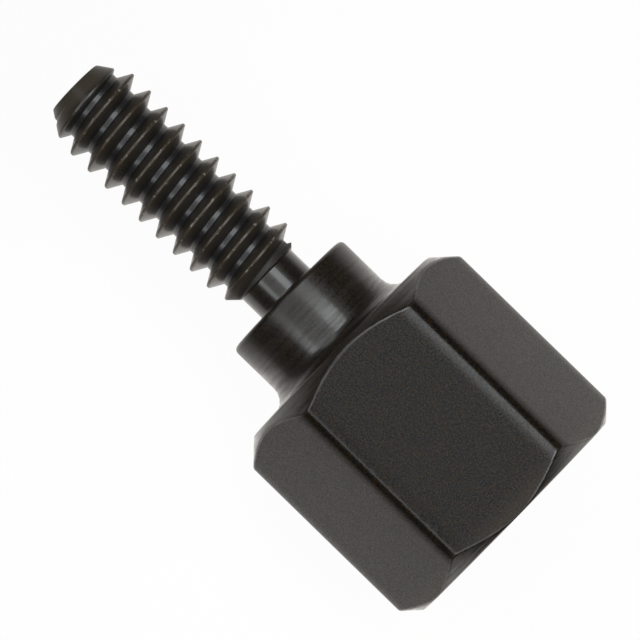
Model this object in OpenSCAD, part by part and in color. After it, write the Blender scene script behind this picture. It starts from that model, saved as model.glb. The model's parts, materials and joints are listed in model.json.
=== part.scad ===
// Threaded standoff: a hexagon head with a tapped hole, a round collar, a relieved neck
// and a threaded stud, all one turned piece of blackened steel.
// Millimetres, +Z up. The part lies on one flat of its hexagon, with its axis along X.
// The origin is on the axis, in the hexagon's stud-side face, and the stud points to +X.
// Every module below stands the part on end, with the stud up; standoff() lays it down.

/* [Hexagon] */
// Width across the flats
hex_af = 7; // [6.6:0.05:9]
// Length along the axis
hex_length = 6.48; // [6:0.02:12]
// Radius of the six long corners
corner_radius = 0.5; // [0.1:0.05:0.9]
// Angle of both end chamfers, from the end faces
chamfer_angle = 43; // [30:1:50]
// How far inside the flats the stud-side face ends
seat_inset = 0.16; // [0.02:0.01:0.3]
// How far inside the flats the open end's face ends
open_inset = 0.02; // [0.02:0.01:0.3]

/* [Collar] */
// Diameter
collar_d = 4.1; // [3.4:0.05:4.4]
// Length from the hexagon to the collar's end face
collar_length = 2; // [1:0.05:5]
// Radius of the fillet at the foot
collar_fillet = 0.5; // [0.1:0.05:0.6]
// Edge break at the end face
collar_edge = 0.1; // [0.05:0.01:0.2]

/* [Stud] */
// Length from the collar's end face to the tip
stud_length = 7.94; // [5:0.01:14]
// Outside diameter of the thread
major_d = 2.69; // [2.6:0.01:2.85]
// Pitch of the thread
pitch = 0.635; // [0.5:0.005:0.7]
// Angle about the axis at which the thread's crest passes the tip
thread_turn = 45; // [0:1:359]
// Diameter of the flat on the tip
tip_face_d = 1.66; // [1.2:0.02:1.9]
// Length of the lead-in chamfer
tip_chamfer = 0.76; // [0.4:0.02:1.4]

/* [Neck] */
// How far the neck is cut below the root of the thread
neck_under = 0.045; // [0.03:0.005:0.2]
// Length of the plain neck
neck_length = 0.75; // [0.4:0.05:2]

/* [Tapped hole] */
// Diameter of the hole before its thread is cut
hole_d = 2.26; // [2:0.02:2.5]
// Depth of the full diameter
hole_depth = 5.4; // [3:0.1:5.6]
// Diameter of the countersink at the mouth
sink_d = 3; // [2.8:0.05:3.8]

/* [Hidden] */
$fn = 96;

// Hexagon
seat_r = hex_af / 2 - seat_inset;
open_r = hex_af / 2 - open_inset;
corner_at = (hex_af / 2 - corner_radius) / cos(30);
corner_step = 6;
chamfer_run = 1.2;
chamfer_rise = chamfer_run * tan(chamfer_angle);

// Thread: a 60 degree form with a narrow crest, and flanks that end in a flat root
crest = pitch / 8;
thread_depth = 0.59 * pitch;
flank = thread_depth * tan(30);
major_r = major_d / 2;
root_r = major_r - thread_depth;
thread_form = [
  [-crest / 2, major_r],
  [crest / 2, major_r],
  [crest / 2 + flank, root_r],
  [pitch - crest / 2 - flank, root_r]
];
columns = 32;

// Heights on the axis
neck_r = root_r - neck_under;
thread_z = collar_length + neck_length;
tip_z = collar_length + stud_length;
turns = ceil((tip_z - thread_z) / pitch) + 3;

// Bar stock: a hexagon with round corners, longer than all that is turned from it

module bar() {
  linear_extrude(height = hex_length + thread_z + 3)
    polygon([
      for (a = [30 : 60 : 330])
        for (turn = [-30 : corner_step : 30])
          corner_at * [cos(a), sin(a)] + corner_radius * [cos(a + turn), sin(a + turn)]
    ]);
}

// Lathe profile of the chamfered head, the collar on its fillet, and the neck

module turned_form() {
  r = collar_d / 2;
  f = collar_fillet;
  rotate_extrude()
    difference() {
      polygon([
        [0, -hex_length],
        [open_r, -hex_length],
        [open_r + chamfer_run, chamfer_rise - hex_length],
        [seat_r + chamfer_run, -chamfer_rise],
        [seat_r, 0],
        [r + f, 0],
        [r, f],
        [r, collar_length - collar_edge],
        [r - collar_edge, collar_length],
        [neck_r, collar_length],
        [neck_r, thread_z + pitch / 2],
        [0, thread_z + pitch / 2]
      ]);
      translate([r + f, f]) circle(r = f);
    }
}

// Right-hand thread: the form swept up a helix, longer at both ends than the stud

function thread_point(s, k) =
  let (
    a = 360 * s / columns,
    z = pitch * s / columns + thread_form[k][0],
    r = thread_form[k][1]
  )
  [r * cos(a), r * sin(a), z];

module helix() {
  last = columns * turns;
  foot = 4 * (last + columns + 1);
  top = foot + 1;
  // A point's number from its place along the helix and in the form. Place 4 is the next turn's 0.
  function at(s, k) = k < 4 ? 4 * s + k : 4 * (s + columns);
  polyhedron(
    points = concat(
      [for (s = [0 : last + columns]) for (k = [0 : 3]) thread_point(s, k)],
      [[0, 0, 0], [0, 0, pitch * (turns + 1)]]
    ),
    faces = concat(
      [for (s = [0 : last - 1]) for (k = [0 : 3]) [at(s, k), at(s, k + 1), at(s + 1, k)]],
      [for (s = [0 : last - 1]) for (k = [0 : 3]) [at(s + 1, k), at(s, k + 1), at(s + 1, k + 1)]],
      [for (s = [0 : columns - 1]) [foot, at(s, 0), at(s + 1, 0)]],
      [for (k = [0 : 3]) [foot, at(0, k + 1), at(0, k)]],
      [for (s = [last : last + columns - 1]) [top, at(s + 1, 0), at(s, 0)]],
      [for (k = [0 : 3]) [top, at(last, k), at(last, k + 1)]]
    )
  );
}

// The thread, cut off by the wall of the neck and by the lead-in chamfer of the tip

module stud() {
  tip_r = tip_face_d / 2;
  clear_r = major_r + 0.2;
  intersection() {
    translate([0, 0, tip_z - turns * pitch]) rotate(thread_turn) helix();
    rotate_extrude()
      polygon([
        [0, thread_z - 0.1],
        [neck_r - 0.1, thread_z - 0.1],
        [clear_r, thread_z + clear_r - neck_r],
        [clear_r, tip_z - tip_chamfer * (clear_r - tip_r) / (major_r - tip_r)],
        [tip_r, tip_z],
        [0, tip_z]
      ]);
  }
}

// Blind hole with a drill point and a countersunk mouth

module hole() {
  r = hole_d / 2;
  sink_r = sink_d / 2;
  translate([0, 0, -hex_length])
    rotate_extrude()
      polygon([
        [0, -1],
        [sink_r + 1, -1],
        [r, sink_r - r],
        [r, hole_depth],
        [0, hole_depth + r / tan(59)]
      ]);
}

module standoff() {
  color([0.09, 0.09, 0.1])
    rotate([0, 90, 0])
      difference() {
        union() {
          intersection() {
            translate([0, 0, -hex_length - 1]) bar();
            turned_form();
          }
          stud();
        }
        hole();
      }
}

standoff();
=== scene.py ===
"""A blackened steel standoff, turned from hexagon bar, lying on a white table."""

import json
import math

import bmesh
import bpy
import numpy as np
from bpy.props import FloatProperty, FloatVectorProperty, PointerProperty
from mathutils import Matrix, Vector


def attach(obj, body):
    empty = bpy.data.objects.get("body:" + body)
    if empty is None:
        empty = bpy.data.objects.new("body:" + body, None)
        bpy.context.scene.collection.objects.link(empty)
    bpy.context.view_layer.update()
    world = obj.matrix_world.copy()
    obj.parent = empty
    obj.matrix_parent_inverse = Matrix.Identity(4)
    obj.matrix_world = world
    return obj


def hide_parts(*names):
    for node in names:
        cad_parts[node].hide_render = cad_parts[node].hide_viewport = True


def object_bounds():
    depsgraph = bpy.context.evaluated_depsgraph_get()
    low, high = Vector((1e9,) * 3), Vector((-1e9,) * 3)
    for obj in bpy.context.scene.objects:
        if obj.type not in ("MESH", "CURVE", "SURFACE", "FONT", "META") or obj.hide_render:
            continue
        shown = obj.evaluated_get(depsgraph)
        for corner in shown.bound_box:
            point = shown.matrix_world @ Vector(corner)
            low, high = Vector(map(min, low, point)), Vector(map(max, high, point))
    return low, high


bl_info = {
    "name": "Threaded standoff",
    "version": (1, 0, 0),
    "blender": (4, 5, 0),
    "location": "3D View > Sidebar > Standoff",
    "description": "Builds a blackened steel standoff and the white table that it lies on",
    "category": "Add Mesh",
}

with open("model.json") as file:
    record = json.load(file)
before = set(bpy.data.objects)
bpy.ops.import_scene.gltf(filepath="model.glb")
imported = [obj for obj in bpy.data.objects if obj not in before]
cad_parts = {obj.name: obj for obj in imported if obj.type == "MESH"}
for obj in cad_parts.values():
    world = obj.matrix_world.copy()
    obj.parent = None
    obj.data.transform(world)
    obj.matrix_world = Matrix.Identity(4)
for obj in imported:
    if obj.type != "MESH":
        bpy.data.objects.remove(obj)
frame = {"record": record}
cad_low, cad_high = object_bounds()
mounts = {mount["name"]: mount for mount in frame["record"]["mounts"]}

MM = 0.001

# Mesh steps on a long corner, on the easing at each side of it, on a flat and on any rounded edge
CORNER_STEPS = 8
EASE_STEPS = 3
FLAT_STEPS = 8
ROUND_STEPS = 5

# Points closer than this become one point
MERGE_DISTANCE = 0.0004 * MM

# How much larger than the neck, or than the hole's thread, the radius is where a thread's rows take over
THREAD_STEP = 0.03 * MM

# Height over which the edges are rounded where a thread is cut off
CUT_ROUND = 0.02 * MM

# Height that the hole's thread loses for each unit of length near its inner end
RUN_OUT_SLOPE = 0.5

# Lights above the part: degrees from straight up along X and along Y, and brightness, where 1 is white
PANELS = {
    "overhead_dim": ((-12, 12), (-10, 28), 0.65),
    "overhead_right": ((-42, 42), (-35, -10), 3.3),
    "overhead_left": ((-42, 42), (28, 40), 2.6),
    "overhead_stud": ((12, 42), (-10, 28), 1.25),
    "overhead_head": ((-42, -12), (-10, 28), 1.0),
    "overhead_far": ((42, 72), (-10, 28), 0.9),
}


def mount_radius(name):
    """Radius that the record gives for a mount, in metres."""
    return mounts[name]["dims"]["r_mm"] * MM


def mount_place(name):
    """Place of a mount in the part's frame, in metres."""
    return Vector(mounts[name]["pos_m"])


# Settings


def length(name, description, default):
    """A length in metres that a user may change."""
    return FloatProperty(name=name, description=description, default=default, unit="LENGTH", precision=6)


def share(name, description, default):
    """A number from 0 to 1 that a user may change."""
    return FloatProperty(
        name=name, description=description, default=default, min=0, max=1, subtype="FACTOR"
    )


def angle(name, description, default):
    """An angle that a user may change, given in degrees."""
    radians = math.radians(default)
    return FloatProperty(name=name, description=description, default=radians, subtype="ANGLE")


def colour(name, description, default):
    """A colour that a user may change."""
    return FloatVectorProperty(
        name=name, description=description, default=default, min=0, max=1, subtype="COLOR"
    )


def position(name, description, default):
    """A place in metres that a user may change."""
    return FloatVectorProperty(
        name=name, description=description, default=default, precision=6, subtype="TRANSLATION"
    )


class HeadSizes(bpy.types.PropertyGroup):
    """Sizes of the hexagon head and of the collar on it"""

    flat_radius: length("Axis to flat", "Distance from the axis to a flat", mount_place("spanner_flat").z)
    head_length: length("Head length", "Length of the hexagon", -mount_place("open_end").x)
    corner_radius: length("Long corners", "Radius of the six long corners", 0.38 * MM)
    ease_radius: length("Corner easing", "Radius of the flatter curves on both sides of a corner", 2.4 * MM)
    ease_angle: angle("Easing angle", "Turn that the flatter curve takes from each side of a corner", 7.5)
    chamfer_angle: angle("Chamfer angle", "Angle of both end chamfers from the end faces", 43)
    seat_inset: length("Seat inset", "How far inside the flats the stud-side face ends", 0.17 * MM)
    open_inset: length("Open end inset", "How far inside the flats the open end's face ends", 0.02 * MM)
    edge_round: length("Chamfer edge", "Rounding where a chamfer meets the flats", 0.14 * MM)
    seat_round: length("Seat edge", "Rounding where a chamfer meets an end face", 0.15 * MM)
    collar_radius: length("Collar radius", "Radius of the collar", mount_radius("collar"))
    collar_length: length("Collar length", "Length from the head to the collar's end face", 2 * MM)
    collar_fillet: length("Collar fillet", "Radius of the fillet at the collar's foot", 0.5 * MM)
    collar_edge: length("Collar edge", "Rounding of the collar's rim", 0.15 * MM)


class StudSizes(bpy.types.PropertyGroup):
    """Sizes of the threaded stud and of the neck below it"""

    thread_radius: length("Thread radius", "Radius at the thread's crests", mount_radius("stud_thread"))
    pitch: length("Pitch", "Pitch of the stud's thread and of the tapped hole's", 0.635 * MM)
    thread_depth: length("Thread depth", "Height of the thread from root to crest", 0.375 * MM)
    crest_width: length("Crest width", "Width of the thread's crests before their rounding", 0.0635 * MM)
    crest_round: length("Crest rounding", "Rounding of both edges of a crest", 0.025 * MM)
    root_round: length("Root rounding", "Rounding of both edges of a root", 0.04 * MM)
    crest_turn: angle("Crest turn", "Turn from straight down at which a crest passes the tip", 45)
    tip_radius: length("Tip radius", "Radius of the flat on the tip", 0.83 * MM)
    tip_chamfer: length("Tip chamfer", "Length of the lead-in chamfer", 0.76 * MM)
    tip_round: length("Tip edge", "Rounding of the edge of the tip", 0.06 * MM)
    neck_radius: length("Neck radius", "Radius of the plain neck", 0.925 * MM)
    neck_length: length("Neck length", "Length of the plain neck", 0.75 * MM)
    neck_round: length("Neck top", "Rounding where the neck meets the wall above it", 0.06 * MM)
    neck_fillet: length("Neck foot", "Rounding where the neck meets the collar's end face", 0.1 * MM)


class HoleSizes(bpy.types.PropertyGroup):
    """Sizes of the tapped hole"""

    hole_radius: length("Hole radius", "Radius at the crests of its thread", mount_radius("tapped_hole"))
    hole_depth: length("Hole depth", "Depth of the hole's full diameter", 5.4 * MM)
    tapped_depth: length("Tapped depth", "Depth to which the thread is cut", 4.7 * MM)
    tap_radius: length("Tap radius", "Radius at the roots of its thread", 1.42 * MM)
    tap_round: length("Tap rounding", "Rounding of the edges of its thread", 0.02 * MM)
    sink_radius: length("Countersink", "Radius of the countersink at the mouth", 1.5 * MM)
    sink_round: length("Countersink edge", "Rounding of the countersink's edge", 0.03 * MM)
    drill_angle: angle("Drill point", "Half angle of the drill's point", 59)


class FinishLook(bpy.types.PropertyGroup):
    """Colours and gloss of the black finish"""

    warm_black: colour("Warm black", "Colour of the black where it is brownish", (0.015, 0.0085, 0.0025))
    cool_black: colour("Cool black", "Colour of the black where it is bluish", (0.004, 0.0045, 0.005))
    stud_black: colour("Stud", "Colour of the brown black on the stud", (0.038, 0.0285, 0.0185))
    # Painted shade in the thread's roots: a bluish black, darker than the stud's brown
    root_shade_black: colour("Roots", "Colour of the black in the thread's roots", (0.0055, 0.0075, 0.0105))
    bare_steel: colour("Flecks", "Colour of the steel on crests that are rubbed bare", (0.2, 0.18, 0.16))
    # Worn colour of rubbed edges; it also paints the sheen at the flats' open end
    worn_and_sheen_black: colour("Worn edges", "Colour of the black where edges are rubbed", (0.054, 0.042, 0.03))
    # Length over which the flats are painted lighter toward the open end, as a painted sheen
    painted_sheen_length: length("Handled end", "Length of the rubbed end of the flats", 0.8 * MM)
    drawn_gloss: share("Flat roughness", "Roughness of the flats", 0.22)
    turned_gloss: share("Turned roughness", "Roughness of the turned faces", 0.34)
    oil_film: share("Oil film", "Share of the gloss that oil gives to the turned faces", 0.95)


class StageLook(bpy.types.PropertyGroup):
    """Table, light and camera"""

    table_radius: length("Table radius", "Radius of the white table", 0.3)
    table_white: colour("Table", "Colour of the table", (1, 0.965, 0.925))
    table_middle: position("Table middle", "Brightest place of the table", (-7.5 * MM, 2.2 * MM, cad_low.z))
    table_shadow: share("Table shadow", "How much of the table takes light and shadow", 0.04)
    # Reach of the table's painted pool of light
    pool_along: length("Pool along X", "Distance along X at which the table is half as bright", 19.13 * MM)
    pool_across: length("Pool along Y", "Distance along Y at which the table is half as bright", 22 * MM)
    dark_room: colour("Room", "Colour of the dark room above the table", (0.04, 0.04, 0.04))
    # The table fades to this colour far from the part, where its painted pool of light ends
    horizon: colour("Horizon", "Colour of the table and the room far from the part", (0.09, 0.087, 0.082))
    panel_height: length("Panel height", "Height of the lights above the part", 0.45)
    panel_colour: colour("Panel colour", "Colour of the lights", (0.95, 0.98, 1))
    camera_target: position("Camera target", "Place that the camera looks at", (0.906 * MM, -0.123 * MM, 0))
    camera_distance: length("Camera distance", "Distance from the camera to the part", 0.19)
    view_width: length("View width", "Width of the picture at the part's axis", 17.09 * MM)
    camera_turn: angle("Camera turn", "Turn of the camera about its own line of sight", 224.3)
    camera_tilt: angle("Camera tilt", "Lean of the camera from straight above, toward +Y", 1.9)
    camera_lean: angle("Camera lean", "Lean of the camera from straight above, toward -X", 1.4)


# Section lines: a section point is its place on the axis + 1j * its radius


def rounded(before, corner, after, radius):
    """Section points along the arc that rounds a corner between two lines. Short lines limit its radius."""
    arrive = (corner - before) / abs(corner - before)
    leave = (after - corner) / abs(after - corner)
    turn = np.angle(leave / arrive)
    most = 0.45
    room = np.minimum(abs(corner - before), abs(after - corner)) * most
    radius = np.minimum(radius, room / np.tan(abs(turn) / 2))
    start = corner - arrive * radius * np.tan(abs(turn) / 2)
    centre = start + 1j * np.sign(turn) * radius * arrive
    steps = np.arange(ROUND_STEPS + 1) / ROUND_STEPS
    return [centre + (start - centre) * np.exp(1j * turn * step) for step in steps]


def section(corners, rounds):
    """Section points of a line through corners, each rounded by its own radius. The ends stay sharp."""
    points = [corners[0]]
    for before, corner, after, radius in zip(corners, corners[1:], corners[2:], rounds):
        points += rounded(before, corner, after, radius)
    return points + [corners[-1]]


def soft_min(a, b, blend):
    """The smaller of two radii, with the corner between them rounded over a short height."""
    near = np.maximum(blend - np.abs(a - b), 0) / blend
    return np.minimum(a, b) - near * near * blend / 4


def soft_max(a, b, blend):
    """The larger of two radii, with the corner between them rounded over a short height."""
    return -soft_min(-a, -b, blend)


# Rows of points around the axis


def hexagon_outline(head):
    """Angles of the mesh's columns, close together on the round corners, and the hexagon's radius there."""
    sixth = math.radians(60)
    half = sixth / 2
    round_to = half - head.ease_angle
    ease = np.linspace(round_to, half, EASE_STEPS + 1)[1:]
    turns = np.concatenate([-ease[::-1], np.linspace(-round_to, round_to, CORNER_STEPS + 1), ease])
    middles = abs(turns[1:] + turns[:-1]) / 2
    radius = np.where(middles > round_to, head.ease_radius, head.corner_radius)
    corner = np.cumsum(np.append(0, radius * np.diff(np.exp(1j * turns))))
    corner -= corner[-1].imag / 2 * 1j
    corner += (head.flat_radius - (corner[-1] * np.exp(-1j * half)).real) / math.cos(half)
    flat_from = np.angle(corner[-1])
    flat = np.linspace(flat_from, sixth - flat_from, FLAT_STEPS + 1)[1:-1]
    angles = np.concatenate([np.angle(corner), flat])
    radii = np.concatenate([abs(corner), head.flat_radius / np.cos(flat - half)])
    return np.concatenate([angles + sixth * side for side in range(6)]), np.tile(radii, 6)


def plain_block(points, columns):
    """Rows of a turned or hexagonal stretch: one row for each section point."""
    return np.array([np.broadcast_to(point, columns) for point in points])


def thread_block(form, stud, high, low, angles, trim):
    """Rows of a right-hand thread from a high to a low place on the axis, where the rows bunch up and end.

    form lists section points from one crest to the next. trim gives what is left of a radius of the form.
    """
    pitch = stud.pitch
    crest_at = cad_high.x + pitch * (math.radians(90) - stud.crest_turn) / math.tau
    lead = pitch * angles / math.tau
    least_past_end = 0.1
    spare_turns = 2
    first = crest_at + pitch * math.ceil((high - crest_at) / pitch + least_past_end)
    turns = math.ceil((first - low) / pitch) + spare_turns
    rows = []
    for turn in range(turns):
        for point in form:
            place = np.clip(first - pitch * turn - point.real + lead, low, high)
            rows.append(place + 1j * trim(place, point.imag))
    return np.array(rows)


def thread_form(pitch, crest_width, root_width, crest_radius, root_radius, crest_round, root_round):
    """Section points of one turn of a 60 degree thread, from one crest's middle to just before the next."""
    half = pitch / 2
    crest = 1j * crest_radius
    root = half + 1j * root_radius
    corners = [crest, crest_width / 2 + crest, root - root_width / 2, root]
    falling = section(corners, [crest_round, root_round])
    flank = falling[ROUND_STEPS + 1 : ROUND_STEPS + 3]
    middle = [flank[0] + (flank[1] - flank[0]) * part / 4 for part in (1, 2, 3)]
    falling[ROUND_STEPS + 2 : ROUND_STEPS + 2] = middle
    rising = [pitch - np.conj(point) for point in reversed(falling)]
    return falling[:-1] + rising[:-1]


# The standoff's stretches, from the tip of the stud to the bottom of the hole


def tip_points(stud):
    """Section points of the stud's end face and of its edge."""
    tip = cad_high.x
    edge = tip + 1j * stud.tip_radius
    cone = tip - stud.tip_chamfer + 1j * stud.thread_radius
    return [tip, tip + 0.5j * stud.tip_radius] + rounded(tip, edge, cone, stud.tip_round)


def stud_rows(stud, head, angles, high):
    """Rows of the stud's thread, from the lead-in chamfer to the wall above the neck."""
    tip = cad_high.x
    slope = (stud.thread_radius - stud.tip_radius) / stud.tip_chamfer
    neck_top = head.collar_length + stud.neck_length
    low = neck_top + THREAD_STEP

    def trim(place, radius):
        lead_in = stud.tip_radius + (tip - place) * slope
        wall = stud.neck_radius + place - neck_top
        return soft_min(soft_min(radius, lead_in, CUT_ROUND), wall, CUT_ROUND)

    flank = stud.thread_depth * math.tan(math.radians(30))
    root_width = stud.pitch - stud.crest_width - 2 * flank
    root_radius = stud.thread_radius - stud.thread_depth
    form = thread_form(
        stud.pitch,
        stud.crest_width,
        root_width,
        stud.thread_radius,
        root_radius,
        stud.crest_round,
        stud.root_round,
    )
    return thread_block(form, stud, high, low, angles, trim), len(form)


def head_points(head, stud, hole, outline):
    """Section points from the wall above the neck to the countersink, and the row where the flats start."""
    neck_top = head.collar_length + stud.neck_length
    slope = math.tan(head.chamfer_angle)
    seat_radius = head.flat_radius - head.seat_inset
    open_radius = head.flat_radius - head.open_inset
    open_end = -head.head_length
    sink_end = hole.sink_radius - hole.tap_radius - THREAD_STEP
    corners = [
        neck_top + THREAD_STEP + 1j * (stud.neck_radius + THREAD_STEP),
        neck_top + 1j * stud.neck_radius,
        head.collar_length + 1j * stud.neck_radius,
        head.collar_length + 1j * head.collar_radius,
        1j * head.collar_radius,
        1j * seat_radius,
        (seat_radius - outline) * slope + 1j * outline,
        open_end + (outline - open_radius) * slope + 1j * outline,
        open_end + 1j * open_radius,
        open_end + 1j * hole.sink_radius,
        open_end + sink_end + 1j * (hole.sink_radius - sink_end),
    ]
    rounds = [
        stud.neck_round,
        stud.neck_fillet,
        head.collar_edge,
        head.collar_fillet,
        head.seat_round,
        head.edge_round,
        head.edge_round,
        head.seat_round,
        hole.sink_round,
    ]
    rounded_before_flats = 6
    flats_from = rounded_before_flats * (ROUND_STEPS + 1)
    return section(corners, rounds), flats_from


def hole_rows(head, stud, hole, angles):
    """Rows of the hole's thread, from the countersink inward to the plain end of the hole."""
    open_end = -head.head_length
    sink_end = open_end + hole.sink_radius - hole.tap_radius - THREAD_STEP
    bottom = open_end + hole.hole_depth
    run_out = open_end + hole.tapped_depth

    def trim(place, radius):
        sink = hole.sink_radius - (place - open_end)
        fading = hole.hole_radius + (run_out - place) * RUN_OUT_SLOPE
        cut = soft_max(soft_min(radius, fading, CUT_ROUND), hole.hole_radius, CUT_ROUND)
        return soft_max(cut, sink, CUT_ROUND)

    flank = (hole.tap_radius - hole.hole_radius) * math.tan(math.radians(30))
    root_width = stud.pitch / 8
    crest_width = stud.pitch - root_width - 2 * flank
    form = thread_form(
        stud.pitch,
        root_width,
        crest_width,
        hole.tap_radius,
        hole.hole_radius,
        hole.tap_round,
        hole.tap_round,
    )
    rows = thread_block(form, stud, bottom, sink_end, angles, trim)
    return rows[::-1], len(form)


# The mesh


def block_faces(rows, columns, shift, first):
    """Corner numbers of the faces between a block's rows. A thread's rows join those of the next turn."""
    row, column = np.meshgrid(np.arange(rows - 1), np.arange(columns), indexing="ij")
    beside = (column + 1) % columns
    turned = row + np.where(beside == 0, shift, 0)
    kept = (turned >= 0) & (turned + 1 < rows)
    corners = [row * columns + column, (row + 1) * columns + column]
    corners += [(turned + 1) * columns + beside, turned * columns + beside]
    return first + np.stack(corners, axis=-1)[kept], row[kept]


def standoff_mesh(head, stud, hole):
    """One closed mesh of the standoff. Slot 0 has the turned finish and slot 1 the finish of the flats."""
    angles, outline = hexagon_outline(head)
    columns = len(angles)
    tip = tip_points(stud)
    thread, thread_turn = stud_rows(stud, head, angles, tip[-1].real)
    body, flats_from = head_points(head, stud, hole, outline)
    tapped, tapped_turn = hole_rows(head, stud, hole, angles)
    bottom = tapped[-1][0]
    point = bottom.real + bottom.imag / math.tan(hole.drill_angle)
    blocks = [
        (plain_block(tip, columns), 0),
        (thread, -thread_turn),
        (plain_block(body, columns), 0),
        (tapped, tapped_turn),
        (plain_block([bottom, (bottom + point) / 2, point], columns), 0),
    ]
    head_block = 2
    points, faces, slots, count = [], [], [], 0
    for number, (rows, shift) in enumerate(blocks):
        spots = np.stack([rows.real, rows.imag * np.cos(angles), rows.imag * np.sin(angles)], axis=-1)
        corners, row = block_faces(len(rows), columns, shift, count)
        points.append(spots.reshape(-1, 3))
        faces.append(corners)
        slots.append((number == head_block) & (row == flats_from))
        count += rows.size
    mesh = bpy.data.meshes.new("standoff_black")
    mesh.from_pydata(np.concatenate(points), [], np.concatenate(faces).tolist())
    mesh.polygons.foreach_set("material_index", np.concatenate(slots).astype(np.int32))
    close_seams(mesh)
    return mesh


def close_seams(mesh):
    """Joins the blocks' rows where they meet, and shades the whole mesh smooth."""
    work = bmesh.new()
    work.from_mesh(mesh)
    bmesh.ops.remove_doubles(work, verts=work.verts, dist=MERGE_DISTANCE)
    bmesh.ops.dissolve_degenerate(work, edges=work.edges, dist=MERGE_DISTANCE / 4)
    work.to_mesh(mesh)
    work.free()
    mesh.shade_smooth()


# Shading


class Shade:
    """A value in a material. Arithmetic on it adds Math nodes to the material."""

    def __init__(self, nodes, socket):
        self.nodes = nodes
        self.socket = socket

    def math(self, operation, first, second):
        return self.nodes.add("ShaderNodeMath", {"operation": operation}, {0: first, 1: second})

    def __add__(self, other):
        return self.math("ADD", self, other)

    def __sub__(self, other):
        return self.math("SUBTRACT", self, other)

    def __rsub__(self, other):
        return self.math("SUBTRACT", other, self)

    def __mul__(self, other):
        return self.math("MULTIPLY", self, other)

    def __truediv__(self, other):
        return self.math("DIVIDE", self, other)

    def __rtruediv__(self, other):
        return self.math("DIVIDE", other, self)

    __radd__ = __add__
    __rmul__ = __mul__


class Nodes:
    """The node tree of a material or world, emptied, with one method that adds any node."""

    def __init__(self, owner):
        owner.use_nodes = True
        self.tree = owner.node_tree
        self.tree.nodes.clear()

    def add(self, kind, settings=None, inputs=None, output=0):
        """Adds a node, sets its settings and then its sockets' values or links, and gives one output."""
        node = self.tree.nodes.new(kind)
        for name, value in (settings or {}).items():
            setattr(node, name, value)
        for name, value in (inputs or {}).items():
            if isinstance(value, Shade):
                self.tree.links.new(value.socket, node.inputs[name])
            else:
                node.inputs[name].default_value = value
        return Shade(self, node.outputs[output] if node.outputs else None)

    def noise(self, spot, scale, detail):
        """A noise value from 0 to 1 at a spot, with features about one over scale metres in size."""
        return self.add("ShaderNodeTexNoise", None, {"Vector": spot, "Scale": scale, "Detail": detail})

    def vector(self, operation, first, second=(0, 0, 0), output="Vector"):
        """Vector arithmetic on one or two vectors."""
        return self.add("ShaderNodeVectorMath", {"operation": operation}, {0: first, 1: second}, output)

    def ramp(self, value, start, end, to_start, to_end):
        """A smooth step from one number to another as a value goes from start to end."""
        inputs = {"Value": value, "From Min": start, "From Max": end, "To Min": to_start, "To Max": to_end}
        return self.add("ShaderNodeMapRange", {"interpolation_type": "SMOOTHSTEP"}, inputs)

    def mixed(self, factor, first, second):
        """A mix of two colours."""
        settings = {"data_type": "RGBA"}
        return self.add("ShaderNodeMix", settings, {"Factor": factor, 6: first, 7: second}, 2)


def opaque(value):
    """A colour property as the four numbers that a colour socket takes."""
    return (*value, 1.0)


def mottled_black(nodes, look, spot):
    """A black that changes in specks between a brownish and a bluish tone."""
    tint = nodes.ramp(nodes.noise(spot, 13000, 2), 0.36, 0.64, 0, 1)
    return nodes.mixed(tint, opaque(look.warm_black), opaque(look.cool_black))


def drawn_finish(look, head):
    """Black oxide on the bar's drawn flats: an even satin with a fine grain, and a painted sheen that
    lightens them toward the open end.
    """
    material = bpy.data.materials.new("black_oxide_drawn")
    nodes = Nodes(material)
    spot = nodes.add("ShaderNodeTexCoord", output="Object")
    along = nodes.add("ShaderNodeSeparateXYZ", None, {0: spot}, "X")
    grain = nodes.ramp(nodes.noise(spot, 22000, 3), 0.34, 0.66, 0, 1)
    cloud = nodes.noise(spot, 1400, 3)
    lines = nodes.noise(nodes.vector("MULTIPLY", spot, (0.03, 1, 1)), 16000, 2)
    open_end = -head.head_length
    # Painted sheen: the flats are painted lighter over the last stretch toward the open end
    painted_end_sheen = nodes.ramp(along, open_end, open_end + look.painted_sheen_length, 0.45, 0)
    # The share of the lighter colour: random grain tone, plus the painted sheen at the open end
    rubbed = grain * (0.02 + cloud * 0.06) + painted_end_sheen
    tone = nodes.mixed(rubbed, mottled_black(nodes, look, spot), opaque(look.worn_and_sheen_black))
    rough = look.drawn_gloss - 0.06 + grain * 0.12
    relief = {"Strength": 0.25, "Distance": 0.004 * MM, "Height": grain * 0.6 + lines * 0.6}
    bump = nodes.add("ShaderNodeBump", None, relief)
    surface = nodes.add(
        "ShaderNodeBsdfPrincipled",
        None,
        {
            "Base Color": tone,
            "Roughness": rough,
            "IOR": 1.33,
            "Coat Weight": grain * 0.4 + cloud * 0.08,
            "Coat Roughness": 0.24,
            "Coat IOR": 1.5,
            "Normal": bump,
        },
    )
    nodes.add("ShaderNodeOutputMaterial", None, {"Surface": surface})
    return material


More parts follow.
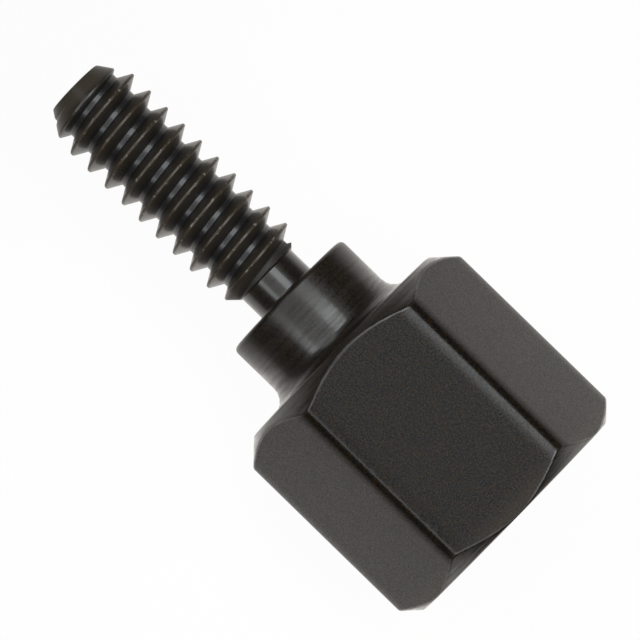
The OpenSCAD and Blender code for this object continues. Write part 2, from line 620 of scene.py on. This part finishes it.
def turned_finish(look, head, stud):
    """Black oxide on the turned faces: tool rings, oil that thins along the collar, rubbed crests, and
    painted shade that darkens the thread's roots.
    """
    material = bpy.data.materials.new("black_oxide_turned")
    nodes = Nodes(material)
    spot = nodes.add("ShaderNodeTexCoord", output="Object")
    along = nodes.add("ShaderNodeSeparateXYZ", None, {0: spot}, "X")
    grain = nodes.ramp(nodes.noise(spot, 19000, 1), 0.3, 0.7, 0, 1)
    ringed = nodes.vector("MULTIPLY", spot, (1, 0.08, 0.08))
    rings = nodes.ramp(nodes.noise(ringed, 11000, 3), 0.3, 0.7, 0, 1)
    end_face = head.collar_length
    neck_top = end_face + stud.neck_length
    on_stud = nodes.ramp(along, neck_top, neck_top + 0.1 * MM, 0, 1)
    radius = nodes.vector("LENGTH", nodes.vector("MULTIPLY", spot, (0, 1, 1)), output="Value")
    root = stud.thread_radius - stud.thread_depth
    # Painted shade: the stud's brown fades to a darker black down the flanks into the thread's roots
    painted_root_shade_ramp = on_stud * nodes.ramp(radius, root, stud.thread_radius, 0.15, 1)
    on_crest = on_stud * nodes.ramp(radius, stud.thread_radius - 0.05 * MM, stud.thread_radius, 0, 1)
    on_tip = nodes.ramp(along, cad_high.x - 0.5 * MM, cad_high.x - 0.3 * MM, 0, 1)
    patches = nodes.ramp(nodes.noise(spot, 6000, 3), 0.48, 0.66, 0, 1)
    plain_black = nodes.mixed(on_stud, mottled_black(nodes, look, spot), opaque(look.root_shade_black))
    black = nodes.mixed(painted_root_shade_ramp, plain_black, opaque(look.stud_black))
    run_out = on_stud * nodes.ramp(along, neck_top + 0.25 * MM, neck_top + 0.4 * MM, 1, 0)
    rubbed = on_crest * (0.1 + patches * 0.8) + on_tip * 0.75 + run_out * 0.2
    tone = nodes.mixed(rings * 0.06 + grain * 0.1 + rubbed, black, opaque(look.worn_and_sheen_black))
    flecks = on_crest * nodes.ramp(nodes.noise(spot, 9000, 2), 0.6, 0.7, 0, 1)
    tone = nodes.mixed(flecks, tone, opaque(look.bare_steel))
    dulled = nodes.ramp(along, head.collar_fillet, end_face * 0.9, 0.25, 0.85)
    past_collar = nodes.ramp(along, end_face, end_face + 0.02 * MM, 0, 1)
    streaks = 0.3 + rings * 1.1 + grain * 0.3
    dry = on_stud * 0.4 + on_crest * 0.4 + on_tip * 0.2 + run_out
    oil = look.oil_film * (streaks - dulled * streaks + past_collar * 0.8 - dry)
    rough = look.turned_gloss - 0.08 + rings * 0.1 + grain * 0.06 + run_out * 0.2
    height = rings * (1 - past_collar * 0.8) + grain * 0.1
    bump = nodes.add("ShaderNodeBump", None, {"Strength": 0.6, "Distance": 0.008 * MM, "Height": height})
    surface = nodes.add(
        "ShaderNodeBsdfPrincipled",
        None,
        {
            "Base Color": tone,
            "Roughness": rough,
            "IOR": 1.45,
            "Coat Weight": oil,
            "Coat Roughness": 0.16,
            "Coat IOR": 1.5,
            "Normal": bump,
        },
    )
    nodes.add("ShaderNodeOutputMaterial", None, {"Surface": surface})
    return material


def table_finish(look):
    """A white table with a faint shadow. In reflections and in its lit share, its colour dims away from its
    middle: a painted pool of light.
    """
    material = bpy.data.materials.new("white_table")
    nodes = Nodes(material)
    spot = nodes.add("ShaderNodeTexCoord", output="Object")
    reach = nodes.vector("DIVIDE", spot, (look.pool_along, look.pool_across, 1))
    away = nodes.vector("LENGTH", reach, output="Value")
    # Painted pool of light: the table's colour goes from white at its middle toward the horizon's colour
    # far away
    painted_light_pool = 1 / (1 + away * away * away * away)
    camera = nodes.add("ShaderNodeLightPath", output="Is Camera Ray")
    glossy = nodes.add("ShaderNodeLightPath", output="Is Glossy Ray")
    through = nodes.add("ShaderNodeLightPath", output="Is Transmission Ray")
    dim = nodes.mixed(painted_light_pool, opaque(look.horizon), opaque(look.table_white))
    bright = nodes.mixed(camera, dim, opaque((1, 1, 1)))
    matt = nodes.add("ShaderNodeBsdfDiffuse", None, {"Color": dim})
    white = nodes.add("ShaderNodeEmission", None, {"Color": bright})
    seen = (camera + glossy + through) * (1 - look.table_shadow)
    surface = nodes.add("ShaderNodeMixShader", None, {"Fac": seen, 1: matt, 2: white})
    nodes.add("ShaderNodeOutputMaterial", None, {"Surface": surface})
    return material


# The stage


def light_panel(name, look, along, across, brightness):
    """A light above the part that spans two angles from straight up along X and two across it along Y."""
    height = look.panel_height
    x0, x1, y0, y1 = (height * math.tan(math.radians(a)) for a in (*along, *across))
    light = bpy.data.lights.new(name, "AREA")
    light.shape = "RECTANGLE"
    light.size = x1 - x0
    light.size_y = y1 - y0
    light.color = look.panel_colour
    light.energy = math.pi * light.size * light.size_y * brightness
    lamp = bpy.data.objects.new(name, light)
    lamp.location = ((x0 + x1) / 2, (y0 + y1) / 2, height)
    bpy.context.scene.collection.objects.link(lamp)


def make_camera(look):
    """A long lens that looks down on the part."""
    scene = bpy.context.scene
    data = bpy.data.cameras.new("overhead_camera")
    data.lens = data.sensor_width * look.camera_distance / look.view_width
    data.clip_start = 0.01
    camera = bpy.data.objects.new("overhead_camera", data)
    facing = Matrix.Rotation(-look.camera_lean, 4, "Y") @ Matrix.Rotation(-look.camera_tilt, 4, "X")
    facing @= Matrix.Rotation(look.camera_turn, 4, "Z")
    target = Matrix.Translation(look.camera_target)
    camera.matrix_world = target @ facing @ Matrix.Translation((0, 0, look.camera_distance))
    scene.collection.objects.link(camera)
    scene.camera = camera


class STANDOFF_OT_standoff(bpy.types.Operator):
    """Builds the standoff as one closed mesh with its black finish"""

    bl_idname = "standoff.make_standoff"
    bl_label = "Standoff"

    def execute(self, context):
        scene = context.scene
        head, stud, hole = scene.standoff_head, scene.standoff_stud, scene.standoff_hole
        mesh = standoff_mesh(head, stud, hole)
        mesh.materials.append(turned_finish(scene.standoff_finish, head, stud))
        mesh.materials.append(drawn_finish(scene.standoff_finish, head))
        piece = bpy.data.objects.new("standoff_black", mesh)
        scene.collection.objects.link(piece)
        shading = piece.modifiers.new("Even shading on flat faces", "WEIGHTED_NORMAL")
        shading.weight = 100
        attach(piece, "root")
        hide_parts("standoff")
        return {"FINISHED"}


class STANDOFF_OT_stage(bpy.types.Operator):
    """Sets the white table, the overhead lights, the dark room and the camera"""

    bl_idname = "standoff.make_stage"
    bl_label = "Stage"

    def execute(self, context):
        scene = context.scene
        look = scene.standoff_stage
        bpy.ops.mesh.primitive_circle_add(
            vertices=96, radius=look.table_radius, fill_type="NGON", location=look.table_middle
        )
        table = context.object
        table.name = "white_table"
        table.data.materials.append(table_finish(look))
        for name, (along, across, brightness) in PANELS.items():
            light_panel(name, look, along, across, brightness)
        scene.world = bpy.data.worlds.new("dark_room")
        room = Nodes(scene.world)
        way = room.add("ShaderNodeTexCoord", output="Generated")
        upward = room.ramp(room.add("ShaderNodeSeparateXYZ", None, {0: way}, "Z"), 0, 0.3, 0, 1)
        around = room.mixed(upward, opaque(look.horizon), opaque(look.dark_room))
        glow = room.add("ShaderNodeBackground", None, {"Color": around})
        room.add("ShaderNodeOutputWorld", None, {"Surface": glow})
        make_camera(look)
        scene.view_settings.view_transform = "Standard"
        return {"FINISHED"}


class STANDOFF_PT_panel(bpy.types.Panel):
    """Lists the standoff's settings and its two builders"""

    bl_label = "Threaded standoff"
    bl_space_type = "VIEW_3D"
    bl_region_type = "UI"
    bl_category = "Standoff"

    def draw(self, context):
        for setting in SETTINGS:
            group = getattr(context.scene, setting)
            for name in group.bl_rna.properties.keys():
                if name not in ("rna_type", "name"):
                    self.layout.prop(group, name)
        self.layout.operator(STANDOFF_OT_standoff.bl_idname)
        self.layout.operator(STANDOFF_OT_stage.bl_idname)


SETTINGS = {
    "standoff_head": HeadSizes,
    "standoff_stud": StudSizes,
    "standoff_hole": HoleSizes,
    "standoff_finish": FinishLook,
    "standoff_stage": StageLook,
}
CLASSES = [*SETTINGS.values(), STANDOFF_OT_standoff, STANDOFF_OT_stage, STANDOFF_PT_panel]


def register():
    """Adds the classes and hangs the settings on the scene."""
    for item in CLASSES:
        bpy.utils.register_class(item)
    for name, group in SETTINGS.items():
        setattr(bpy.types.Scene, name, PointerProperty(type=group))


def unregister():
    """Takes away what register added."""
    for name in SETTINGS:
        delattr(bpy.types.Scene, name)
    for item in reversed(CLASSES):
        bpy.utils.unregister_class(item)


def main():
    """Builds the part and its stage."""
    register()
    bpy.ops.standoff.make_standoff()
    bpy.ops.standoff.make_stage()


if __name__ == "__main__":
    main()
